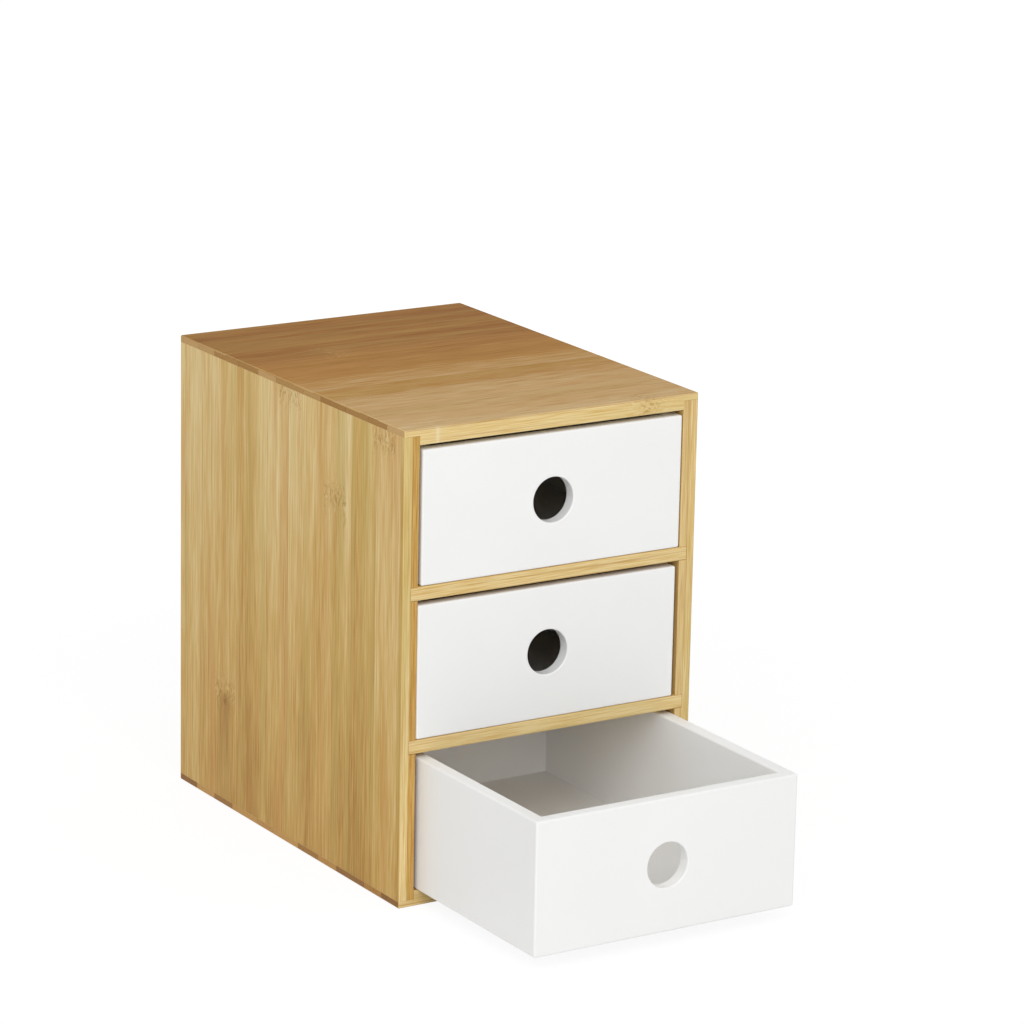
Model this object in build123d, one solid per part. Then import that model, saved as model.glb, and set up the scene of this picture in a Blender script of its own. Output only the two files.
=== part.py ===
"""Desktop chest of three small drawers: a bamboo carcass with white drawers.

Frame: millimetres, +X to the chest's right, +Y to its back, +Z up.
The origin is the middle of the carcass's underside, on the surface it stands on.
The drawers are drawn as they stand at rest: two shut and the lowest pulled part
of the way out. Each one slides along -Y, and its boards are glued to each other.
"""

import os

from build123d import *

# --- Carcass ------------------------------------------------------------------
WIDTH = 147.0  # outside of the carcass, left to right
DEPTH = 198.0  # outside of the carcass, front to back
HEIGHT = 210.0  # from the underside of the bottom panel to the top
BOARD = 7.0  # boards of the top and the bottom
SIDE_BOARD = 7.5  # boards of the sides
SHELF = 6.0  # boards between the drawers
BACK = 4.0  # board that closes the back
TONGUE = 3.0  # what the top and bottom keep over the ends of the side boards
DADO = 3.5  # how far the shelves are let into the side boards
REBATE = 3.5  # how far the back is let into the boards around it
EASE = 0.6  # rounding of the carcass's arrises

# --- Drawers ------------------------------------------------------------------
DRAWER_BOARD = 6.0  # front, sides and back of a drawer
DRAWER_BOTTOM = 3.0  # board that closes a drawer below
GROOVE = 3.0  # how far a drawer's bottom is let into the boards around it
GROOVE_HEIGHT = 3.0  # wood left under the groove
LAP = 3.0  # what a drawer's front and back keep over the ends of its sides
DRAWER_EASE = 0.9  # rounding of a drawer's arrises
FINGER_HOLE = 20.0  # diameter of the hole that a drawer is pulled by
HOLE_EASE = 0.6  # rounding of the hole's rims

# --- Clearances around a drawer -------------------------------------------------
SIDE_GAP = 1.0  # beside a centred drawer, on each side
HEAD_GAP = 2.2  # over a drawer
SLIDE_GAP = 0.1  # under a drawer, which slides on the board below it
STOP_GAP = 0.5  # between a shut drawer and the back

# --- How the drawers stand at rest ----------------------------------------------
# For each drawer from the lowest up: how far it is pulled out, and which way it
# sits in its bay, as a share of the gap beside it (+1 is hard to the right).
DRAWERS = {
    "lower": {"pulled": 94.0, "lean": 0.5},
    "middle": {"pulled": 0.0, "lean": -0.8},
    "upper": {"pulled": 0.0, "lean": 0.5},
}

# --- Worked out from the values above -------------------------------------------
FRONT_Y = -DEPTH / 2
BACK_Y = DEPTH / 2
BAY_WIDTH = WIDTH - 2 * SIDE_BOARD
BAY_DEPTH = DEPTH - BACK
SHELF_COUNT = len(DRAWERS) - 1
BAY_HEIGHT = (HEIGHT - 2 * BOARD - SHELF_COUNT * SHELF) / len(DRAWERS)
BAY_PITCH = BAY_HEIGHT + SHELF
DRAWER_WIDTH = BAY_WIDTH - 2 * SIDE_GAP
DRAWER_HEIGHT = BAY_HEIGHT - HEAD_GAP - SLIDE_GAP
DRAWER_DEPTH = BAY_DEPTH - STOP_GAP

CORNER = (Align.MIN, Align.MIN, Align.MIN)


def block(low, high):
    """A plain board from its lowest corner to its highest."""
    size = [top - bottom for bottom, top in zip(low, high)]
    return Pos(*low) * Box(*size, align=CORNER)


def edges_at(solid, *places):
    """The straight edges that lie at every one of the given (axis, position) pairs."""
    index = {Axis.X: 0, Axis.Y: 1, Axis.Z: 2}

    def lies_there(edge):
        centre = tuple(edge.center())
        box = edge.bounding_box()
        size = tuple(box.size)
        return all(
            abs(centre[index[axis]] - at) < 0.001 and size[index[axis]] < 0.001
            for axis, at in places
        )

    return [edge for edge in solid.edges() if lies_there(edge)]


def eased(solid, radius, *corners):
    """The solid with the edges at each corner, a tuple of places, rounded."""
    chosen = [edge for places in corners for edge in edges_at(solid, *places)]
    return fillet(chosen, radius)


# --- Carcass boards -------------------------------------------------------------


def end_board():
    """The bottom panel: a board whose ends are cut down to take the side boards."""
    half = WIDTH / 2
    board = block((-half, FRONT_Y, 0), (half, BACK_Y, BOARD))
    for side in (-1, 1):
        inner, outer = sorted((side * BAY_WIDTH / 2, side * half))
        board -= block((inner, FRONT_Y, TONGUE), (outer, BACK_Y, BOARD))
    board -= block(
        (-BAY_WIDTH / 2, BACK_Y - BACK, BOARD - REBATE),
        (BAY_WIDTH / 2, BACK_Y, BOARD),
    )
    under = (Axis.Z, 0)
    outer_x = [(Axis.X, side * half) for side in (-1, 1)]
    outer_y = [(Axis.Y, FRONT_Y), (Axis.Y, BACK_Y)]
    corners = [(x, y) for x in outer_x for y in outer_y]
    arrises = [(under, place) for place in outer_x + outer_y]
    mouth = ((Axis.Z, BOARD), (Axis.Y, FRONT_Y))
    return eased(board, EASE, *corners, *arrises, mouth)


def bottom_panel():
    """The board that the carcass stands on."""
    return end_board()


def top_panel():
    """The same board as the bottom one, the other way up."""
    return Pos(0, 0, HEIGHT) * (Rot(0, 180, 0) * end_board())


def side_panel(side):
    """A side board, with a dado for each shelf and a rebate for the back.

    side is -1 for the left board and +1 for the right one.
    """
    outer = side * WIDTH / 2
    inner = side * BAY_WIDTH / 2
    low_x, high_x = sorted((inner, outer))
    board = block((low_x, FRONT_Y, TONGUE), (high_x, BACK_Y, HEIGHT - TONGUE))
    near, far = sorted((inner, inner + side * REBATE))
    board -= block((near, BACK_Y - BACK, TONGUE), (far, BACK_Y, HEIGHT - TONGUE))
    for level in range(SHELF_COUNT):
        near, far = sorted((inner, inner + side * DADO))
        low_z = shelf_height(level)
        board -= block((near, FRONT_Y, low_z), (far, BACK_Y - BACK, low_z + SHELF))
    outer_corners = [((Axis.X, outer), (Axis.Y, y)) for y in (FRONT_Y, BACK_Y)]
    mouth = ((Axis.X, inner), (Axis.Y, FRONT_Y))
    return eased(board, EASE, *outer_corners, mouth)


def shelf_height(level):
    """The underside of a shelf, counted from the lowest."""
    return BOARD + BAY_HEIGHT + level * BAY_PITCH


def shelf(level):
    """A board between two drawers, let into both sides and ending at the back."""
    half = BAY_WIDTH / 2 + DADO
    low_z = shelf_height(level)
    board = block((-half, FRONT_Y, low_z), (half, BACK_Y - BACK, low_z + SHELF))
    mouths = [((Axis.Z, z), (Axis.Y, FRONT_Y)) for z in (low_z, low_z + SHELF)]
    return eased(board, EASE, *mouths)


def back_panel():
    """The thin board at the back, let into the four boards around it."""
    half = BAY_WIDTH / 2 + REBATE
    low_z = BOARD - REBATE
    return block((-half, BACK_Y - BACK, low_z), (half, BACK_Y, HEIGHT - low_z))


# --- Drawer boards --------------------------------------------------------------
# A drawer is drawn with its front face at y = 0, its middle at x = 0 and its
# underside at z = 0, and is then moved to where it stands.


def drawer_place(number, stance):
    """Where a drawer stands at rest, counted from the lowest."""
    low_z = BOARD + number * BAY_PITCH + SLIDE_GAP
    return Pos(stance["lean"] * SIDE_GAP, FRONT_Y - stance["pulled"], low_z)


def drawer_walls():
    """The four boards around a drawer in one piece, before it is cut at their joints."""
    half = DRAWER_WIDTH / 2
    inner_half = half - DRAWER_BOARD
    near, far = DRAWER_BOARD, DRAWER_DEPTH - DRAWER_BOARD
    walls = block((-half, 0, 0), (half, DRAWER_DEPTH, DRAWER_HEIGHT))
    walls -= block((-inner_half, near, 0), (inner_half, far, DRAWER_HEIGHT))
    walls -= block(
        (-inner_half - GROOVE, near - GROOVE, GROOVE_HEIGHT),
        (inner_half + GROOVE, far + GROOVE, GROOVE_HEIGHT + DRAWER_BOTTOM),
    )
    top = (Axis.Z, DRAWER_HEIGHT)
    outer_x = [(Axis.X, side * half) for side in (-1, 1)]
    outer_y = [(Axis.Y, 0), (Axis.Y, DRAWER_DEPTH)]
    inner_x = [(Axis.X, side * inner_half) for side in (-1, 1)]
    inner_y = [(Axis.Y, near), (Axis.Y, far)]
    corners = [(x, y) for x in outer_x for y in outer_y]
    arrises = [(level, place) for level in (top, (Axis.Z, 0)) for place in outer_x + outer_y]
    rims = [(top, place) for place in inner_x + inner_y]
    return eased(walls, DRAWER_EASE, *corners, *arrises, *rims)


def drawer_end():
    """The front without its hole: it keeps a lap over the ends of both sides."""
    half = DRAWER_WIDTH / 2
    inner_half = half - DRAWER_BOARD
    lap = block((-half, 0, 0), (half, LAP, DRAWER_HEIGHT))
    middle = block((-inner_half, LAP, 0), (inner_half, DRAWER_BOARD, DRAWER_HEIGHT))
    return drawer_walls() & (lap + middle)


def drawer_front():
    """The front, with the finger hole in its middle."""
    middle = Pos(0, DRAWER_BOARD / 2, DRAWER_HEIGHT / 2)
    bore = Cylinder(FINGER_HOLE / 2, 2 * DRAWER_BOARD, rotation=(90, 0, 0))
    board = drawer_end() - middle * bore
    rims = board.edges().filter_by(GeomType.CIRCLE)
    rims = [rim for rim in rims if abs(rim.radius - FINGER_HOLE / 2) < 0.001]
    return fillet(rims, HOLE_EASE)


def drawer_back():
    """The back: the same board as the front, turned round and with no hole."""
    return Pos(0, DRAWER_DEPTH, 0) * (Rot(0, 0, 180) * drawer_end())


def drawer_side(side):
    """A side of a drawer, -1 for the left one and +1 for the right one."""
    outer = side * DRAWER_WIDTH / 2
    low_x, high_x = sorted((outer, outer - side * DRAWER_BOARD))
    return drawer_walls() & block((low_x, LAP, 0), (high_x, DRAWER_DEPTH - LAP, DRAWER_HEIGHT))


def drawer_bottom():
    """The bottom, held in the grooves of the four boards around it."""
    margin = DRAWER_BOARD - GROOVE
    half = DRAWER_WIDTH / 2 - margin
    return block(
        (-half, margin, GROOVE_HEIGHT),
        (half, DRAWER_DEPTH - margin, GROOVE_HEIGHT + DRAWER_BOTTOM),
    )


# --- Every node -----------------------------------------------------------------


def carcass_nodes():
    """The boards of the carcass, by name."""
    nodes = {
        "top_panel": top_panel(),
        "bottom_panel": bottom_panel(),
        "left_side_panel": side_panel(-1),
        "right_side_panel": side_panel(1),
        "back_panel": back_panel(),
    }
    for level, name in enumerate(("lower_shelf", "upper_shelf")):
        nodes[name] = shelf(level)
    return nodes


def drawer_nodes():
    """The boards of every drawer, by name and where they stand at rest."""
    nodes = {}
    for number, (name, stance) in enumerate(DRAWERS.items()):
        place = drawer_place(number, stance)
        boards = {
            "front": drawer_front(),
            "back": drawer_back(),
            "left_side": drawer_side(-1),
            "right_side": drawer_side(1),
            "bottom": drawer_bottom(),
        }
        for board_name, board in boards.items():
            nodes[f"{name}_drawer_{board_name}"] = place * board
    return nodes


os.makedirs("parts", exist_ok=True)
for node, solid in {**carcass_nodes(), **drawer_nodes()}.items():
    export_step(solid, f"parts/{node}.step")
    size = solid.bounding_box().size
    print(f"{node}: {size.X:.1f} x {size.Y:.1f} x {size.Z:.1f} mm, {solid.volume:.0f} mm3")
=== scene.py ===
"""Looks for a desktop chest of three small drawers.

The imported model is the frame: everything is in metres, +X to the chest's right,
+Y to its back, +Z up. The carcass boards are shaped again here, with the hairline
arrises of real joinery and a bamboo that runs through each board as a solid, and
the painted drawers are dressed.
"""

import logging
import math
from collections.abc import Callable, Iterable
from dataclasses import dataclass, field
from enum import Enum

import bpy
from mathutils import Matrix, Vector


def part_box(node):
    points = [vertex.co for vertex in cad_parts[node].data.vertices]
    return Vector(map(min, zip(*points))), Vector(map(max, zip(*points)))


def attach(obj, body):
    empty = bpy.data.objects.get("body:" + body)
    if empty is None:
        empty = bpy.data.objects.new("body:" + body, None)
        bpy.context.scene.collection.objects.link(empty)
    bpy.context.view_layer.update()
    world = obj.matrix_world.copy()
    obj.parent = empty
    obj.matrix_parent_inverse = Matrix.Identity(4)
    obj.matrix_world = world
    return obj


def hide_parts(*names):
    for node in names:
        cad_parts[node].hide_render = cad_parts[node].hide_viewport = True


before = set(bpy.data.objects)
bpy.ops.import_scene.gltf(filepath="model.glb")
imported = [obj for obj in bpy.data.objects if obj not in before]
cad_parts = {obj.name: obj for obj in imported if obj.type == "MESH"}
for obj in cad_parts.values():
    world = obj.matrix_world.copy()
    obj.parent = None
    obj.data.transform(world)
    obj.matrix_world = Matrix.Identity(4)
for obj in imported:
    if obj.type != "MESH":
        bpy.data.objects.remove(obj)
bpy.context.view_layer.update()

log = logging.getLogger("drawers")

MM = 0.001  # one millimetre, in the frame's metres
TOUCH = 1e-5  # how near two places are to count as one, in metres

Colour = tuple[float, float, float]  # linear red, green and blue, from 0 to 1


class Axis(Enum):
    """One of the frame's directions, as an index into a vector."""

    X = 0
    Y = 1
    Z = 2


# --- Nodes of a finish ----------------------------------------------------------------


@dataclass(frozen=True)
class Signal:
    """A number on its way through a finish; arithmetic on it adds nodes."""

    sketch: "Sketch"
    socket: bpy.types.NodeSocket

    def __add__(self, other: "Signal | float") -> "Signal":
        """The sum of two signals."""
        return self.sketch.maths("ADD", self, other)

    def __sub__(self, other: "Signal | float") -> "Signal":
        """What is left of this signal without the other."""
        return self.sketch.maths("SUBTRACT", self, other)

    def __mul__(self, other: "Signal | float") -> "Signal":
        """The product of two signals."""
        return self.sketch.maths("MULTIPLY", self, other)

    def __truediv__(self, other: "Signal | float") -> "Signal":
        """This signal divided by the other."""
        return self.sketch.maths("DIVIDE", self, other)


Input = Signal | float | tuple  # what an input of a node can take


class Sketch:
    """A node tree and the short calls that draw in it."""

    def __init__(self, tree: bpy.types.NodeTree) -> None:
        """Starts with an empty tree."""
        self.tree = tree
        self.tree.nodes.clear()

    def node(self, kind: str, inputs: dict | None = None, **settings: object) -> bpy.types.Node:
        """Adds one node.

        Args:
            kind: the node's type without its "ShaderNode".
            inputs: what each named or numbered input takes.
            settings: the node's own options.

        Returns:
            The node.
        """
        made = self.tree.nodes.new("ShaderNode" + kind)
        for name, value in settings.items():
            setattr(made, name, value)
        for name, value in (inputs or {}).items():
            self.feed(made.inputs[name], value)
        return made

    def feed(self, socket: bpy.types.NodeSocket, value: Input) -> None:
        """Links a signal to an input, or sets the input to a plain value."""
        if isinstance(value, Signal):
            self.tree.links.new(value.socket, socket)
        else:
            socket.default_value = value

    def out(self, node: bpy.types.Node, name: str | int = 0) -> Signal:
        """One output of a node, as a signal."""
        return Signal(self, node.outputs[name])

    def maths(self, operation: str, *values: Input) -> Signal:
        """The result of one Math node."""
        return self.out(self.node("Math", dict(enumerate(values)), operation=operation))

    def smooth(self, value: Input, low: float, high: float) -> Signal:
        """0 at low and 1 at high, whichever is the larger, with a soft step between."""
        inputs = {"Value": value, "From Min": low, "From Max": high}
        return self.out(self.node("MapRange", inputs, interpolation_type="SMOOTHSTEP"))

    def spread(self, value: Input, low: float, high: float) -> Signal:
        """A value from 0 to 1, spread evenly from low to high."""
        inputs = {"Value": value, "To Min": low, "To Max": high}
        return self.out(self.node("MapRange", inputs))

    def bell(self, value: Signal, width: float) -> Signal:
        """1 where the value is 0, fading to nothing over about the width either way."""
        scaled = value / width
        return self.maths("EXPONENT", scaled * scaled * -1.0)

    def point(self, x: Input, y: Input, z: Input) -> Signal:
        """Three numbers as one vector."""
        return self.out(self.node("CombineXYZ", {0: x, 1: y, 2: z}))

    def noise(self, place: Signal, detail: float = 2.0, rough: float = 0.5) -> Signal:
        """Smooth noise from 0 to 1, about one feature to each unit of the place."""
        inputs = {"Vector": place, "Scale": 1.0, "Detail": detail, "Roughness": rough}
        return self.out(self.node("TexNoise", inputs))

    def chance(self, key: Signal) -> tuple[Signal, Signal, Signal]:
        """Three random numbers that stay the same for a whole number."""
        dice = self.node("TexWhiteNoise", {"W": key}, noise_dimensions="1D")
        parts = self.node("SeparateColor", {0: self.out(dice, "Color")})
        return self.out(parts, 0), self.out(parts, 1), self.out(parts, 2)

    def ramp(self, value: Signal, stops: list[tuple[float, Colour]]) -> Signal:
        """A colour for each value, blended between the stops."""
        made = self.node("ValToRGB", {0: value})
        while len(made.color_ramp.elements) < len(stops):
            made.color_ramp.elements.new(1.0)
        for element, (place, colour) in zip(made.color_ramp.elements, stops):
            element.position = place
            element.color = (*colour, 1.0)
        return self.out(made, "Color")

    def blend(self, amount: Input, first: Input, second: Input, how: str = "MIX") -> Signal:
        """Two colours mixed, with more of the second as the amount grows."""
        made = self.node("Mix", data_type="RGBA", blend_type=how, clamp_factor=True)
        for number, value in ((0, amount), (6, first), (7, second)):
            if isinstance(value, tuple) and len(value) == 3:
                value = (*value, 1.0)
            self.feed(made.inputs[number], value)
        return self.out(made, 2)

    def bump(self, height: Signal, strength: float, depth: float) -> Signal:
        """The shading of a relief that is a depth in metres high."""
        inputs = {"Strength": strength, "Distance": depth, "Height": height}
        return self.out(self.node("Bump", inputs))

    def surface(self, colour: Signal, rough: Signal, gloss: float, normal: Signal) -> None:
        """Ends a finish in its shader.

        Args:
            colour: its base colour.
            rough: its roughness.
            gloss: its specular level.
            normal: its relief, from bump().
        """
        inputs = {"Base Color": colour, "Roughness": rough, "Normal": normal}
        shader = self.node("BsdfPrincipled", inputs)
        shader.inputs["Specular IOR Level"].default_value = gloss
        self.node("OutputMaterial", {"Surface": self.out(shader)})


def linear(red: int, green: int, blue: int) -> Colour:
    """A screen colour, 0 to 255, as the linear colour that a shader takes."""

    def channel(value: int) -> float:
        """One channel of it."""
        part = value / 255
        return part / 12.92 if part <= 0.04045 else ((part + 0.055) / 1.055) ** 2.4

    return channel(red), channel(green), channel(blue)


def new_finish(name: str) -> tuple[bpy.types.Material, Sketch]:
    """A new material, and the empty sketch to draw it in."""
    material = bpy.data.materials.new(name)
    material.use_nodes = True
    return material, Sketch(material.node_tree)


# --- Bamboo ---------------------------------------------------------------------------


@dataclass(frozen=True)
class Tone:
    """The colours of one bamboo, from its darkest fibres to its palest."""

    dark: Colour
    middle: Colour
    pale: Colour

    def stops(self) -> list[tuple[float, Colour]]:
        """The colours as the stops of a ramp."""
        return [(0.12, self.dark), (0.5, self.middle), (0.88, self.pale)]


STRAW = Tone(linear(174, 127, 50), linear(211, 173, 98), linear(234, 210, 154))
HONEY = Tone(linear(162, 118, 54), linear(198, 160, 96), linear(224, 196, 136))
AMBER = Tone(linear(140, 84, 22), linear(180, 127, 50), linear(208, 168, 94))
TOASTED = Tone(linear(136, 78, 8), linear(180, 128, 52), linear(223, 198, 150))
PALE_END = Tone(linear(156, 112, 62), linear(186, 146, 93), linear(208, 172, 121))
DARK_END = Tone(linear(132, 84, 28), linear(168, 117, 52), linear(198, 152, 82))


@dataclass(frozen=True)
class Fibres:
    """Fibres of one thickness."""

    beside: float  # how many lie in a millimetre across the grain
    along: float  # how many end in a millimetre along it
    shift: float  # how differently the next strip draws them
    weight: float = 1.0  # how much they change the tone
    detail: float = 2.0  # how many layers of finer ones they carry


BROAD = Fibres(0.06, 0.005, 3.7, weight=0.6)
BANDS = Fibres(0.24, 0.007, 9.1, weight=0.16)
LINES = Fibres(0.7, 0.014, 5.3, weight=0.27)
THREADS = Fibres(1.9, 0.05, 7.9, weight=0.85)
HUES = Fibres(0.16, 0.007, 2.3, detail=3.0)
DARK_FIBRES = Fibres(0.9, 0.008, 4.1, detail=1.0)


@dataclass(frozen=True)
class Mark:
    """A mark in the wood."""

    colour: Colour
    strength: float  # how much of the wood's own colour it takes away at most
    how: str = "MIX"

    def lay(self, sketch: Sketch, wood: Signal, amount: Signal) -> Signal:
        """The wood with the mark on it, where the amount is above 0."""
        return sketch.blend(amount * self.strength, wood, self.colour, self.how)


OLIVE = Mark(linear(190, 166, 88), 0.42)  # fibres that stayed greenish
TAWNY = Mark(linear(200, 146, 76), 0.5)  # fibres that turned reddish
DARK_FIBRE = Mark(linear(166, 112, 48), 0.4)
JOINT_HALO = Mark(linear(196, 154, 90), 0.15)
JOINT_SPECK = Mark(linear(154, 114, 52), 0.45)
JOINT_GLINT = Mark(linear(226, 198, 142), 0.4)
STAIN = Mark((0.80, 0.70, 0.50), 0.9, "MULTIPLY")  # below a joint
GROOVE = Mark((0.66, 0.58, 0.42), 1.0, "MULTIPLY")  # in the middle of that stain
BUTT_LINE = Mark(linear(238, 220, 180), 0.6)  # where two strips meet end to end
SEAM = Mark(linear(132, 90, 42), 0.22)  # where two strips lie side by side
END_SEAM = Mark(linear(96, 58, 26), 0.4)  # the same on the end grain
# a painted highlight along the rounded arrises
ARRIS_HIGHLIGHT = Mark(linear(232, 204, 148), 0.35)
GLUE = linear(128, 82, 32)


@dataclass(frozen=True)
class Joint:
    """A joint of the bamboo, put where it shows."""

    across: float  # its place across the grain, in mm
    along: float  # its place along the grain, in mm
    tail: float = 0.0  # how strong the stain below it is


@dataclass(frozen=True)
class Butt:
    """A place where two strips meet end to end."""

    across: float  # in mm
    along: float  # in mm


@dataclass(frozen=True)
class Drift:
    """A slow change of tone from one end of a board to the other."""

    axis: Axis
    dark_end: float  # in mm
    pale_end: float  # in mm
    amount: float  # how much paler the pale end is


@dataclass(frozen=True)
class Shade:
    """A lengthwise part of a board that differs in tone from the rest."""

    across: float  # its middle, in mm
    reach: float  # how far it fades out either way, in mm
    amount: float  # how much paler it is, or darker below 0


@dataclass(frozen=True)
class Bamboo:
    """Laminated bamboo under a clear satin lacquer.

    The pattern fills the board: strips lie beside each other, fibres run along
    them, and a second ply may start part of the way through.
    """

    name: str
    grain: Axis
    across: Axis
    face: Tone
    core: Tone
    ply_line: float | None = None  # where the core ply starts, in mm along the third axis
    face_side: int = 1  # which side of that line the face ply is on
    strip: float = 19.0  # width of a strip, in mm
    glue: float = 0.2  # how dark the glue line between the plies is
    node_pitch: float = 520.0  # length of bamboo between two of its joints, in mm
    joints: tuple[Joint, ...] = ()  # in place of the ones that the pitch gives
    butts: tuple[Butt, ...] = ()
    seed: float = 0.0  # sets the board's strips and fibres apart from other boards'
    drift: Drift | None = None
    shades: tuple[Shade, ...] = ()
    contrast: float = 1.0  # how much the fibres of a wide face differ
    end: Tone = DARK_END  # colours of the end grain
    gloss: float = 0.22  # specular level of the lacquer
    rough_between: float = 0.5  # roughness between the fibres
    rough_on_top: float = 0.4  # roughness on top of them
    relief: float = 0.35  # how strongly the fibres are shaded
    depth: float = 0.04 * MM  # how high they stand

    def material(self) -> bpy.types.Material:
        """Draws the finish."""
        made, sketch = new_finish(self.name)
        cut = Cut(self, sketch)
        colour, height = cut.colour(), cut.height()
        crest = sketch.smooth(height, 0.2, 0.8)
        rough = sketch.spread(crest, self.rough_between, self.rough_on_top)
        sketch.surface(colour, rough, self.gloss, sketch.bump(height, self.relief, self.depth))
        return made


class Cut:
    """The face that a board shows of its bamboo, drawn layer by layer."""

    WANDER = 2.6  # how far the side of a strip strays, in mm
    WANDER_TURN = 0.13  # how fast it strays, in radians to the millimetre
    PLY_SHIFT = 0.43  # how far the core's strips lie beside the face's, in strips
    SEED_SHIFT = 7.31  # how far a seed moves the strips, in mm
    PLY_KEY = 17.0  # keeps the strips of the two plies apart in chance
    SEED_KEY = 101.0  # keeps the boards apart in it
    SEAM_FROM = 0.484  # where a seam starts, in strips from the middle of one
    FACING = (0.72, 0.92)  # how much a face must look along an axis to begin and to count
    SWIRL = 8.0  # how far the swirl bends a joint's ring, in mm
    BOW = 9.0  # how far the ring bows along the grain, in mm
    PART = 7.0  # how far the fibres part round a joint, in mm
    HALO = 8.0  # how far a joint disturbs the wood, in mm
    RING = 5.0  # how far its specks lie from it, in mm
    TAIL = 36.0  # length over which the stain below it fades, in mm
    STAIN_WIDTH = 0.42  # in strips
    GROOVE_WIDTH = 0.2  # in strips
    BUTT_WIDTH = 0.9  # in mm
    GLUE_WIDTH = 0.28  # in mm
    STRIP_SPREAD = 0.2  # how much the strips differ in tone
    HUE_SPREAD = 0.2  # how much they differ in hue
    EDGE_CALM = 0.6  # how much less the coarse fibres show on an edge
    EDGE_CRISP = 0.5  # how much more the fine ones do
    EDGE_PALER = 0.27
    END_COVER = 0.9  # how much of an end the end grain covers

    def __init__(self, wood: Bamboo, sketch: Sketch) -> None:
        """Works out where a point lies in its board, its strip and its joint.

        Args:
            wood: the finish to draw.
            sketch: the tree to draw it in.
        """
        self.wood = wood
        self.sketch = sketch
        self.find_place()
        self.find_strip()
        self.find_joint()
        kinds = (BROAD, BANDS, LINES, THREADS)
        self.broad, self.bands, self.lines, self.threads = map(self.streaks, kinds)

    def find_place(self) -> None:
        """Where a point lies in its board, in millimetres, and which way it faces."""
        wood, sketch = self.wood, self.sketch
        coordinates = sketch.node("TexCoord")
        spot = sketch.node("SeparateXYZ", {0: sketch.out(coordinates, "Object")})
        normal = sketch.node("SeparateXYZ", {0: sketch.out(coordinates, "Normal")})
        self.place = {axis: sketch.out(spot, axis.value) * (1 / MM) for axis in Axis}
        self.facing = {
            axis: sketch.maths("ABSOLUTE", sketch.out(normal, axis.value)) for axis in Axis
        }
        third = next(axis for axis in Axis if axis not in (wood.grain, wood.across))
        self.along, self.across = self.place[wood.grain], self.place[wood.across]
        self.through = self.place[third]
        self.edge = sketch.smooth(self.facing[wood.across], *self.FACING)
        self.end = sketch.smooth(self.facing[wood.grain], *self.FACING)

    def find_strip(self) -> None:
        """Which ply and strip it lies in, how far off that strip's middle, and its dice."""
        wood, sketch = self.wood, self.sketch
        self.ply = self.core_ply()
        wander = sketch.maths("SINE", self.across * self.WANDER_TURN + wood.seed) * self.WANDER
        shifted = self.across + wander + self.ply * (wood.strip * self.PLY_SHIFT)
        shifted = shifted + wood.seed * self.SEED_SHIFT
        count = sketch.maths("FLOOR", shifted / wood.strip)
        self.beside = shifted / wood.strip - count - 0.5
        self.key = count + self.ply * self.PLY_KEY + wood.seed * self.SEED_KEY
        self.tone_dice, self.hue_dice, self.joint_dice = sketch.chance(self.key)
        self.seam = sketch.smooth(sketch.maths("ABSOLUTE", self.beside), self.SEAM_FROM, 0.5)

    def core_ply(self) -> Signal:
        """0 in the face ply and 1 in the core ply."""
        if self.wood.ply_line is None:
            return self.through * 0.0
        beyond = "LESS_THAN" if self.wood.face_side > 0 else "GREATER_THAN"
        return self.sketch.maths(beyond, self.through, self.wood.ply_line)

    def find_joint(self) -> None:
        """Where it lies from the nearest joint, and how that bends the fibres."""
        sketch = self.sketch
        self.gap, self.offset, self.tail = self.nearest_joint()
        spot = sketch.point(self.across * 0.3, self.along * 0.16, self.through * 0.3 + self.key)
        swirl = sketch.noise(spot) - 0.5
        bent = self.gap + swirl * self.SWIRL + self.offset * self.offset * self.BOW
        self.halo = sketch.bell(bent, self.HALO)
        self.ring = sketch.bell(bent, self.RING)
        self.fibre = self.across + self.halo * swirl * self.PART
        spot = sketch.point(
            self.across * 0.8, self.along * 0.4, self.through * 0.8 + self.key * 3.1
        )
        self.flecks = sketch.noise(spot, rough=0.6)
        self.specks = self.ring * sketch.smooth(self.flecks, 0.52, 0.6)

    def nearest_joint(self) -> tuple[Signal, Signal, Signal]:
        """Finds the joint of the bamboo that a point belongs to.

        Returns:
            How far past the joint the point is, in mm, how far beside its middle,
            in strips, and how strong the stain below it is.
        """
        wood, sketch = self.wood, self.sketch
        if not wood.joints:
            turns = self.along / wood.node_pitch + self.joint_dice
            gap = (turns - sketch.maths("ROUND", turns)) * wood.node_pitch
            return gap, self.beside, sketch.smooth(self.hue_dice, 0.5, 0.7)
        gap = self.along * 0.0 + wood.node_pitch
        offset, tail = self.beside, self.beside * 0.0
        for joint in wood.joints:
            beside = (self.across - joint.across) / wood.strip
            here = sketch.maths("LESS_THAN", sketch.maths("ABSOLUTE", beside), 0.5)
            gap = gap + (self.along - joint.along - gap) * here
            offset = offset + (beside - offset) * here
            tail = tail + here * joint.tail
        return gap, offset, tail

    def streaks(self, fibres: Fibres) -> Signal:
        """Fibres of one thickness, from -0.5 to 0.5."""
        spot = self.sketch.point(
            self.fibre * fibres.beside,
            self.through * fibres.beside,
            self.along * fibres.along + self.key * fibres.shift,
        )
        return self.sketch.noise(spot, fibres.detail, 0.55) - 0.5

    def on_face(self, amount: float) -> Signal:
        """An amount that holds on the wide faces and is gone on the edges."""
        return self.edge * -amount + amount

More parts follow.
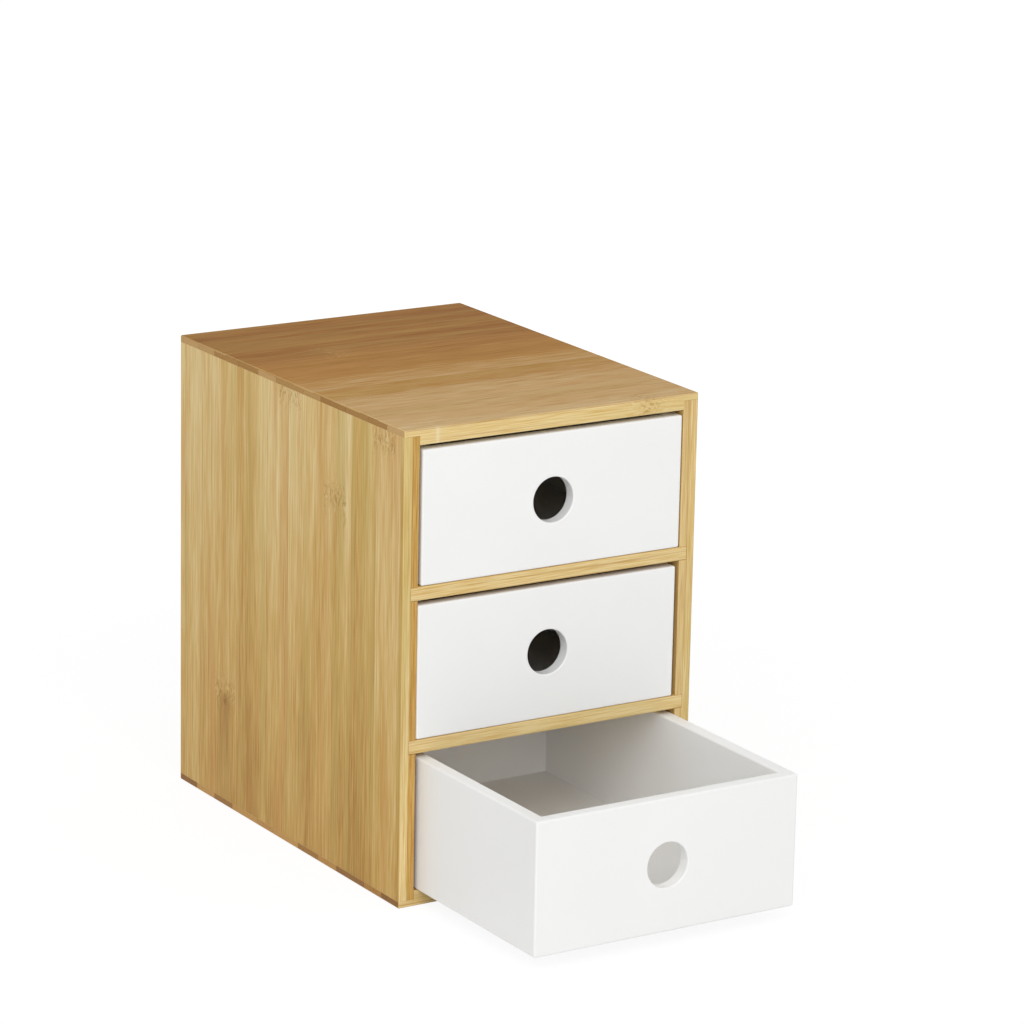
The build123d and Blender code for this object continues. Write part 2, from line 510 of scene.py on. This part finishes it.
    def tone(self) -> Signal:
        """How pale the wood is, with 0.5 for its middle colour."""
        wood, sketch = self.wood, self.sketch
        coarse = (self.tone_dice - 0.5) * self.STRIP_SPREAD
        coarse = coarse + self.broad * BROAD.weight + self.bands * BANDS.weight
        coarse = coarse * (self.edge * -self.EDGE_CALM + 1.0) * wood.contrast
        fine = self.lines * LINES.weight + self.threads * THREADS.weight
        fine = fine * (self.edge * self.EDGE_CRISP + (1.0 + wood.contrast) / 2)
        tone = coarse + fine + self.edge * self.EDGE_PALER + 0.5
        if wood.drift is not None:
            drift = wood.drift
            slide = sketch.smooth(self.place[drift.axis], drift.dark_end, drift.pale_end)
            tone = tone + (slide - 0.5) * self.on_face(drift.amount)
        for shade in wood.shades:
            near = sketch.bell(self.across - shade.across, shade.reach)
            tone = tone + near * self.on_face(shade.amount)
        return tone

    def colour(self) -> Signal:
        """The wood's colour, with every mark laid on it in turn."""
        tone = self.tone()
        face = self.sketch.ramp(tone, self.wood.face.stops())
        core = self.sketch.ramp(tone, self.wood.core.stops())
        colour = self.sketch.blend(self.ply, face, core)
        for lay in (self.tint, self.lay_joint, self.lay_lines, self.lay_end, self.paint_arris_highlight):
            colour = lay(colour)
        return colour

    def height(self) -> Signal:
        """How high the fibres stand, from 0 to 1."""
        fibres = self.threads * 0.7 + self.bands * 0.3
        return fibres - self.specks * 0.4 - self.seam * 0.3 + 0.5

    def tint(self, colour: Signal) -> Signal:
        """Adds the greenish, the reddish and the dark fibres."""
        sketch, contrast = self.sketch, self.wood.contrast
        hue = self.streaks(HUES) + (self.hue_dice - 0.5) * self.HUE_SPREAD
        olive = sketch.smooth(hue, -0.02, -0.2) * contrast
        colour = OLIVE.lay(sketch, colour, olive)
        tawny = sketch.smooth(hue, 0.04, 0.22) * (self.edge * -0.7 + 1.0) * contrast
        colour = TAWNY.lay(sketch, colour, tawny)
        dark = sketch.smooth(self.streaks(DARK_FIBRES), -0.14, -0.22)
        dark = dark * (self.edge * (0.8 - contrast) + contrast)
        return DARK_FIBRE.lay(sketch, colour, dark)

    def lay_joint(self, colour: Signal) -> Signal:
        """Adds the joint's halo, its specks and glints, and the stain below it."""
        sketch = self.sketch
        glints = self.ring * sketch.smooth(self.flecks, 0.46, 0.37) * self.wood.contrast
        fade = sketch.maths("EXPONENT", sketch.maths("ABSOLUTE", self.gap) / -self.TAIL)
        below = fade * sketch.smooth(self.gap, 1.0, -5.0) * self.tail
        stain = sketch.bell(self.offset, self.STAIN_WIDTH) * below
        groove = sketch.bell(self.offset, self.GROOVE_WIDTH) * below
        groove = groove * (sketch.smooth(self.lines, 0.16, -0.1) * 0.6 + 0.4)
        marks = (
            (JOINT_HALO, self.halo),
            (JOINT_SPECK, self.specks),
            (JOINT_GLINT, glints),
            (STAIN, stain),
            (GROOVE, groove),
        )
        for mark, amount in marks:
            colour = mark.lay(sketch, colour, amount)
        return colour

    def lay_lines(self, colour: Signal) -> Signal:
        """Adds the lines where strips meet and where the plies are glued."""
        wood, sketch = self.wood, self.sketch
        for butt in wood.butts:
            meeting = sketch.bell(self.along - butt.along, self.BUTT_WIDTH)
            meeting = meeting * sketch.bell(self.across - butt.across, wood.strip * 0.4)
            meeting = meeting * (self.edge * 0.75 + 0.25)
            colour = BUTT_LINE.lay(sketch, colour, meeting)
        colour = SEAM.lay(sketch, colour, self.seam)
        if wood.ply_line is not None and wood.glue > 0.0:
            glue = sketch.bell(self.through - wood.ply_line, self.GLUE_WIDTH)
            colour = sketch.blend(glue * wood.glue, colour, GLUE)
        return colour

    def lay_end(self, colour: Signal) -> Signal:
        """Covers the ends of the board with end grain."""
        sketch = self.sketch
        spot = sketch.point(self.across * 1.7, self.through * 1.7, self.key)
        pores = sketch.noise(spot, detail=3.0, rough=0.6)
        tone = (self.tone_dice - 0.5) * 0.8 + (pores - 0.5) * 1.1 + 0.5
        grain = sketch.ramp(tone, self.wood.end.stops())
        grain = END_SEAM.lay(sketch, grain, self.seam)
        return sketch.blend(self.end * self.END_COVER, colour, grain)

    def paint_arris_highlight(self, colour: Signal) -> Signal:
        """Paints a highlight on the rounded arrises, making them a little paler."""
        sketch = self.sketch
        flat = sketch.maths("MAXIMUM", self.facing[Axis.X], self.facing[Axis.Y])
        flat = sketch.maths("MAXIMUM", flat, self.facing[Axis.Z])
        return ARRIS_HIGHLIGHT.lay(sketch, colour, sketch.smooth(flat, 0.985, 0.86))


# --- Paint ----------------------------------------------------------------------------


@dataclass(frozen=True)
class WhitePaint:
    """Smooth satin white paint on board."""

    name: str = "satin_white_paint"
    colour: Colour = linear(247, 247, 246)
    shade: Colour = (0.985, 0.985, 0.98)  # what is left of the white in its clouds
    clouds: float = 22.0  # clouds in a metre
    skin: float = 900.0  # dimples in a metre
    rough_low: float = 0.36
    rough_high: float = 0.46
    gloss: float = 0.4  # specular level
    relief: float = 0.12  # how strongly the dimples are shaded
    depth: float = 0.03 * MM  # how deep they are

    def material(self) -> bpy.types.Material:
        """Draws the finish: faint clouds in the white and a fine sprayed skin."""
        made, sketch = new_finish(self.name)
        spot = sketch.out(sketch.node("TexCoord"), "Object")
        kinds = (
            {"Vector": spot, "Scale": self.clouds, "Detail": 3.0},
            {"Vector": spot, "Scale": self.skin, "Detail": 2.0},
        )
        clouds, skin = (sketch.out(sketch.node("TexNoise", kind)) for kind in kinds)
        dull = tuple(part * share for part, share in zip(self.colour, self.shade))
        colour = sketch.blend(sketch.smooth(clouds, 0.3, 0.7), self.colour, dull)
        rough = sketch.spread(clouds, self.rough_low, self.rough_high)
        sketch.surface(colour, rough, self.gloss, sketch.bump(skin, self.relief, self.depth))
        return made


# --- Shaping a board by hand ----------------------------------------------------------


class Workbench:
    """The steps that shape a board: saw a blank, score it, raise a part, ease arrises."""

    SMOOTH_UP_TO = math.radians(40)  # the bend past which an edge stays sharp
    BEVEL_STEPS = 4

    @staticmethod
    def blank(name: str, low: Vector, high: Vector) -> bpy.types.Object:
        """Adds a plain board.

        Args:
            name: what the piece is called.
            low: its lowest corner, in metres.
            high: its highest corner, in metres.

        Returns:
            The board, with its place in its mesh.
        """
        bpy.ops.object.select_all(action="DESELECT")
        bpy.ops.mesh.primitive_cube_add(size=1.0, location=(low + high) / 2, scale=high - low)
        board = bpy.context.active_object
        board.name = name
        board.data.name = name
        bpy.ops.object.transform_apply(location=True, rotation=True, scale=True)
        return board

    @staticmethod
    def score(axis: Axis, places: Iterable[float]) -> None:
        """Cuts the faces of the board in hand along planes square to an axis."""
        normal = Vector((0, 0, 0))
        normal[axis.value] = 1.0
        bpy.ops.object.mode_set(mode="EDIT")
        for place in places:
            bpy.ops.mesh.select_all(action="SELECT")
            bpy.ops.mesh.bisect(plane_co=normal * place, plane_no=normal)
        bpy.ops.object.mode_set(mode="OBJECT")

    @staticmethod
    def pick_faces(board: bpy.types.Object, wanted: Callable[[Vector, Vector], bool]) -> None:
        """Selects the faces that a test of (centre, normal) picks."""
        bpy.ops.object.mode_set(mode="EDIT")
        bpy.ops.mesh.select_mode(type="FACE")
        bpy.ops.mesh.select_all(action="DESELECT")
        bpy.ops.object.mode_set(mode="OBJECT")
        for face in board.data.polygons:
            face.select = wanted(face.center, face.normal)

    @staticmethod
    def pull(shift: Vector) -> None:
        """Extrudes the selected faces by a distance."""
        bpy.ops.object.mode_set(mode="EDIT")
        bpy.ops.mesh.extrude_region_move(TRANSFORM_OT_translate={"value": shift})
        bpy.ops.object.mode_set(mode="OBJECT")

    @staticmethod
    def weigh(board: bpy.types.Object, weights: Callable[[Vector, Vector], float]) -> None:
        """Sets how wide each edge is eased, as a share, from its two ends."""
        layer = board.data.attributes.new("bevel_weight_edge", "FLOAT", "EDGE")
        corners = board.data.vertices
        for edge in board.data.edges:
            first, second = (corners[number].co for number in edge.vertices)
            layer.data[edge.index].value = weights(first, second)

    @staticmethod
    def ease(board: bpy.types.Object, width: float) -> None:
        """Rounds the weighed edges and lets the flats keep flat shading."""
        bevel = board.modifiers.new("ease", "BEVEL")
        bevel.limit_method = "WEIGHT"
        bevel.width = width
        bevel.segments = Workbench.BEVEL_STEPS
        bpy.ops.object.modifier_apply(modifier=bevel.name)
        bpy.ops.object.shade_smooth_by_angle(angle=Workbench.SMOOTH_UP_TO)
        flats = board.modifiers.new("flats", "WEIGHTED_NORMAL")
        flats.keep_sharp = True
        bpy.ops.object.modifier_apply(modifier=flats.name)


def both_at(first: Vector, second: Vector, axis: Axis, place: float) -> bool:
    """Whether both ends of an edge lie on a plane square to an axis."""
    return all(abs(end[axis.value] - place) < TOUCH for end in (first, second))


# --- The carcass ----------------------------------------------------------------------


@dataclass
class Carcass:
    """The seven bamboo boards that hold the drawers."""

    ease: float = 0.6 * MM  # rounding of the outer arrises
    hairline: float = 0.2  # easing of a joint, as a share of that rounding
    body: str = "carcass"
    slot: str = "bamboo"
    pieces: list[bpy.types.Object] = field(default_factory=list)

    def __post_init__(self) -> None:
        """Reads the boards' places from the frame."""
        self.low, self.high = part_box("bottom_panel")[0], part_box("top_panel")[1]
        left_low, left_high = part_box("left_side_panel")
        self.bay_half = -left_high.x
        self.tongue = left_low.z
        self.shelves = [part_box(name) for name in ("lower_shelf", "upper_shelf")]
        self.back_low, self.back_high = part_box("back_panel")
        self.ply_half = self.back_high.x
        self.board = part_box("bottom_panel")[1].z

    def build(self) -> None:
        """Shapes every board of the carcass."""
        for side, name in ((-1, "left_side_panel"), (1, "right_side_panel")):
            self.finish(self.side_board(side, name + "_board"), name)
        for up, name in ((False, "bottom_panel"), (True, "top_panel")):
            self.finish(self.end_board(up, name + "_board"), name)
        for (low, high), name in zip(self.shelves, ("lower_shelf", "upper_shelf")):
            self.finish(self.shelf(low, high, name + "_board"), name)
        self.finish(self.back("back_panel_board"), "back_panel")

    def finish(self, board: bpy.types.Object, node: str) -> None:
        """Puts a shaped board in the place of its CAD node."""
        Workbench.ease(board, self.ease)
        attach(board, self.body)
        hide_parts(node)
        self.pieces.append(board)
        log.info("%s: %d faces", board.name, len(board.data.polygons))

    def side_board(self, side: int, name: str) -> bpy.types.Object:
        """A side: its face ply, with the core ply raised on it between the shelves."""
        halves = (self.high.x, self.ply_half, self.bay_half)
        outer, ply, inner = (side * half for half in halves)
        low = Vector((min(outer, ply), self.low.y, self.tongue))
        high = Vector((max(outer, ply), self.high.y, self.high.z - self.tongue))
        board = Workbench.blank(name, low, high)
        Workbench.score(Axis.Z, [edge.z for shelf in self.shelves for edge in shelf])
        Workbench.score(Axis.Y, [self.back_low.y])

        def is_land(centre: Vector, normal: Vector) -> bool:
            """Whether an inner face lies between the shelves and before the back."""
            in_shelf = any(bottom.z < centre.z < top.z for bottom, top in self.shelves)
            return normal.x * side < -0.9 and centre.y < self.back_low.y and not in_shelf

        Workbench.pick_faces(board, is_land)
        Workbench.pull(Vector((inner - ply, 0, 0)))

        def weight(first: Vector, second: Vector) -> float:
            """Full at the outer corners and the mouth, a hairline at the joints."""
            at_front = both_at(first, second, Axis.Y, self.low.y)
            at_back = both_at(first, second, Axis.Y, self.high.y)
            at_outside = both_at(first, second, Axis.X, outer)
            at_mouth = both_at(first, second, Axis.X, inner)
            if (at_front or at_back) and at_outside or at_front and at_mouth:
                return 1.0
            in_flat = at_front and both_at(first, second, Axis.X, ply) and not any(
                bottom.z - TOUCH < (first.z + second.z) / 2 < top.z + TOUCH
                for bottom, top in self.shelves
            )
            level = abs(first.z - second.z) < TOUCH
            scored = level and any(
                abs(first.z - edge.z) < TOUCH for shelf in self.shelves for edge in shelf
            )
            past_ply = abs(first.x - ply) < TOUCH and abs(second.x - outer) < TOUCH
            past_ply = past_ply or abs(second.x - ply) < TOUCH and abs(first.x - outer) < TOUCH
            if in_flat or scored and (past_ply or at_outside or at_back):
                return 0.0
            if both_at(first, second, Axis.Y, self.back_low.y):
                return 0.0
            return self.hairline if at_front or at_back or at_outside else 0.0

        Workbench.weigh(board, weight)
        return board

    def end_board(self, up: bool, name: str) -> bpy.types.Object:
        """The top or the bottom: a tongued sheet with a thicker middle between the sides."""
        inward = -1 if up else 1
        outer_z = self.high.z if up else self.low.z
        tongue_z = outer_z + inward * self.tongue
        rebate_z = self.back_high.z if up else self.back_low.z
        inner_z = outer_z + inward * self.board
        low = Vector((self.low.x, self.low.y, min(outer_z, tongue_z)))
        high = Vector((self.high.x, self.high.y, max(outer_z, tongue_z)))
        board = Workbench.blank(name, low, high)
        Workbench.score(Axis.X, [-self.bay_half, self.bay_half])
        Workbench.score(Axis.Y, [self.back_low.y])

        def faces_in(centre: Vector, normal: Vector) -> bool:
            """Whether an inward face lies between the sides."""
            return normal.z * inward > 0.9 and abs(centre.x) < self.bay_half

        Workbench.pick_faces(board, faces_in)
        Workbench.pull(Vector((0, 0, rebate_z - tongue_z)))

        def before_back(centre: Vector, normal: Vector) -> bool:
            """Whether such a face lies before the back, too."""
            return faces_in(centre, normal) and centre.y < self.back_low.y

        Workbench.pick_faces(board, before_back)
        Workbench.pull(Vector((0, 0, inner_z - rebate_z)))

        def weight(first: Vector, second: Vector) -> float:
            """Full round the outside and at the mouth, a hairline at the joints."""
            outside = sum(
                both_at(first, second, axis, corner[axis.value])
                for axis in (Axis.X, Axis.Y)
                for corner in (self.low, self.high)
            )
            on_sheet = both_at(first, second, Axis.Z, outer_z)
            at_front = both_at(first, second, Axis.Y, self.low.y)
            mouth = at_front and both_at(first, second, Axis.Z, inner_z)
            if on_sheet and outside or outside == 2 or mouth:
                return 1.0
            level = abs(first.z - second.z) < TOUCH
            under_sheet = level and abs(first.z - tongue_z) < TOUCH and outside
            scored = under_sheet and max(abs(first.x), abs(second.x)) <= self.bay_half + TOUCH
            if under_sheet and not scored:
                return self.hairline
            upright = abs(first.x - second.x) < TOUCH and not level
            on_bay = abs(abs(first.x) - self.bay_half) < TOUCH
            past_tongue = abs((first.z + second.z) / 2 - outer_z) > self.tongue
            return self.hairline if upright and on_bay and past_tongue and outside else 0.0

        Workbench.weigh(board, weight)
        return board

    def shelf(self, low: Vector, high: Vector, name: str) -> bpy.types.Object:
        """A board between two drawers, eased along its front."""
        board = Workbench.blank(name, low, high)

        def weight(first: Vector, second: Vector) -> float:
            """Full along the front, a hairline down its ends."""
            if not both_at(first, second, Axis.Y, low.y):
                return 0.0
            return 1.0 if abs(first.z - second.z) < TOUCH else self.hairline

        Workbench.weigh(board, weight)
        return board

    def back(self, name: str) -> bpy.types.Object:
        """The thin board that closes the back, with a hairline all round."""
        board = Workbench.blank(name, self.back_low, self.back_high)

        def weight(first: Vector, second: Vector) -> float:
            """A hairline round its outer face."""
            return self.hairline * both_at(first, second, Axis.Y, self.back_high.y)

        Workbench.weigh(board, weight)
        return board

    def dress(self) -> None:
        """Gives every board its own cut of bamboo."""
        line = self.ply_half / MM
        upright = {
            "grain": Axis.Z,
            "across": Axis.Y,
            "face": STRAW,
            "drift": Drift(Axis.Z, -20.0, 230.0, 0.32),
        }
        level = {"grain": Axis.X, "across": Axis.Y}
        shelf = {**level, "face": STRAW, "core": STRAW}
        finishes = {
            "left_side_panel_board": Bamboo(
                "bamboo_left_side",
                **upright,
                core=AMBER,
                ply_line=-line,
                face_side=-1,
                seed=13.0,
                shades=(
                    Shade(33.0, 10.0, -0.2),
                    Shade(76.0, 8.0, 0.12),
                    Shade(-60.0, 8.0, -0.1),
                ),
                joints=(
                    Joint(-41.6, 169.0, tail=0.2),
                    Joint(56.0, 55.0, tail=1.0),
                    Joint(-82.0, 203.0),
                    Joint(-2.0, 206.0),
                ),
            ),
            "right_side_panel_board": Bamboo(
                "bamboo_right_side",
                **upright,
                core=HONEY,
                ply_line=line,
                seed=2.0,
            ),
            "top_panel_board": Bamboo(
                "bamboo_top",
                **level,
                face=TOASTED,
                core=STRAW,
                ply_line=(self.high.z - self.ease) / MM,
                glue=0.0,
                seed=3.0,
                # paler towards the front and darker towards the back: a painted sheen at the
                # front and painted shade at the back
                drift=Drift(Axis.Y, 105.0, -125.0, 0.5),
                joints=(Joint(-99.0, 48.0), Joint(38.0, -30.0, tail=0.3)),
                butts=(Butt(-99.0, -57.5),),
                gloss=0.03,
                contrast=0.45,
                end=PALE_END,
            ),
            "bottom_panel_board": Bamboo(
                "bamboo_bottom",
                **level,
                face=STRAW,
                core=HONEY,
                ply_line=self.tongue / MM,
                face_side=-1,
                glue=0.0,
                seed=4.0,
            ),
            "lower_shelf_board": Bamboo("bamboo_lower_shelf", **shelf, seed=5.0),
            "upper_shelf_board": Bamboo("bamboo_upper_shelf", **shelf, seed=6.0),
            "back_panel_board": Bamboo(
                "bamboo_back", Axis.Z, Axis.X, face=HONEY, core=HONEY, seed=7.0
            ),
        }
        for board in self.pieces:
            board.data.materials.clear()
            board.data.materials.append(finishes[board.name].material())


# --- The drawers ----------------------------------------------------------------------


@dataclass
class Drawer:
    """One painted drawer: a front, a back, two sides and a bottom."""

    name: str
    boards: tuple[str, ...] = ("front", "back", "left_side", "right_side", "bottom")

    def dress(self, paint: bpy.types.Material) -> None:
        """Paints every board of the drawer."""
        for board in self.boards:
            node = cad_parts[f"{self.name}_drawer_{board}"]
            node.data.materials.clear()
            node.data.materials.append(paint)
            log.info("%s: painted", node.name)


# --- The studio -----------------------------------------------------------------------


@dataclass
class Studio:
    """Pale floor, soft light and the camera. Places and lengths are in metres."""

    camera_at: tuple[float, float, float] = (-1.00745, -1.66551, 0.67270)
    camera_aim: tuple[float, float, float] = (0.02683, -0.02421, 0.14447)
    camera_roll: float = math.radians(1.155)
    camera_reach: float = 50.0
    lens: float = 159.81  # in mm
    sensor: float = 36.0  # its width, in mm
    ambient: float = 0.58  # strength of the light from all round
    key_at: tuple[float, float, float] = (-0.73, -1.30, 1.15)
    key_aim: tuple[float, float, float] = (0.0, 0.0, 0.1)
    key_size: float = 1.4
    key_power: float = 15.0  # in watts
    floor_size: float = 8.0
    floor_drop: float = 0.2 * MM  # how far it lies below the chest
    floor_white: float = 0.9  # its colour, where it takes light and shadow
    floor_glow: float = 1.06  # its strength, where it shows as plain white
    shadow_near: float = 0.25  # how far from the middle the shadow starts to fade
    shadow_far: float = 0.9  # where it is gone
    shadow_share: float = 0.15  # how much of it is left beside the chest

    def build(self) -> None:
        """Sets up the world, the lamps, the floor and the camera."""
        bpy.context.scene.view_settings.view_transform = "Standard"
        self.world()
        self.key_light()
        self.floor()
        self.camera()

    def world(self) -> None:
        """Even light from all round, seen as plain white."""
        world = bpy.data.worlds.new("studio")
        bpy.context.scene.world = world
        world.use_nodes = True
        sketch = Sketch(world.node_tree)
        seen = self.seen(sketch)
        dim = sketch.node("Background", {"Strength": self.ambient})
        white = sketch.node("Background", {"Strength": 1.0})
        for shader in (dim, white):
            shader.inputs["Color"].default_value = (1, 1, 1, 1)
        mixed = sketch.node("MixShader", {0: seen, 1: sketch.out(dim), 2: sketch.out(white)})
        sketch.node("OutputWorld", {"Surface": sketch.out(mixed)})

    @staticmethod
    def seen(sketch: Sketch) -> Signal:
        """1 for a ray that shows the backdrop itself, 0 for one that only lights."""
        path = sketch.node("LightPath")
        names = ("Is Camera Ray", "Is Glossy Ray", "Is Transmission Ray")
        camera, glossy, clear = (sketch.out(path, name) for name in names)
        return sketch.maths("MAXIMUM", sketch.maths("MAXIMUM", camera, glossy), clear)

    def key_light(self) -> None:
        """Hangs a square soft lamp before the chest, to its left, and aims it."""
        light = bpy.data.lights.new("key_light", "AREA")
        light.size = self.key_size
        light.energy = self.key_power
        lamp = bpy.data.objects.new("key_light", light)
        lamp.location = self.key_at
        aim = Vector(self.key_aim) - Vector(self.key_at)
        lamp.rotation_euler = aim.to_track_quat("-Z", "Y").to_euler()
        bpy.context.scene.collection.objects.link(lamp)

    def floor(self) -> None:
        """A white floor that still takes the chest's soft shadow."""
        bpy.ops.object.select_all(action="DESELECT")
        place = (0, 0, -self.floor_drop)
        bpy.ops.mesh.primitive_plane_add(size=self.floor_size, location=place)
        floor = bpy.context.active_object
        floor.name = "studio_floor"
        bpy.ops.object.transform_apply(location=True, rotation=True, scale=True)
        material, sketch = new_finish("studio_floor")
        matte = sketch.node("BsdfDiffuse")
        white = self.floor_white
        matte.inputs["Color"].default_value = (white, white, white, 1)
        glow = sketch.node("Emission")
        glow.inputs["Strength"].default_value = self.floor_glow
        spot = sketch.out(sketch.node("TexCoord"), "Object")
        reach = sketch.out(sketch.node("VectorMath", {0: spot}, operation="LENGTH"), "Value")
        faded = sketch.smooth(reach, self.shadow_near, self.shadow_far)
        share = self.seen(sketch) * (faded * self.shadow_share + (1.0 - self.shadow_share))
        mixed = sketch.node("MixShader", {0: share, 1: sketch.out(matte), 2: sketch.out(glow)})
        sketch.node("OutputMaterial", {"Surface": sketch.out(mixed)})
        floor.data.materials.append(material)

    def camera(self) -> None:
        """Stands the camera where the picture was taken from."""
        lens = bpy.data.cameras.new("camera")
        lens.lens = self.lens
        lens.sensor_width = self.sensor
        lens.clip_end = self.camera_reach
        camera = bpy.data.objects.new("camera", lens)
        stand = Vector(self.camera_at)
        ahead = (Vector(self.camera_aim) - stand).normalized()
        right = ahead.cross(Vector((0, 0, 1))).normalized()
        up = right.cross(ahead)
        roll = Matrix.Rotation(-self.camera_roll, 3, ahead)
        turn = Matrix((roll @ right, roll @ up, -ahead)).transposed()
        camera.matrix_world = Matrix.Translation(stand) @ turn.to_4x4()
        bpy.context.scene.collection.objects.link(camera)
        bpy.context.scene.camera = camera


# --- Making it ------------------------------------------------------------------------


def main() -> None:
    """Builds the studio, the carcass and the drawers, in that order."""
    logging.basicConfig(level=logging.INFO, format="%(name)s: %(message)s")
    Studio().build()
    log.info("studio is up")
    carcass = Carcass()
    carcass.build()
    carcass.dress()
    paint = WhitePaint().material()
    for name in ("lower", "middle", "upper"):
        Drawer(name).dress(paint)


if __name__ == "__main__":
    main()
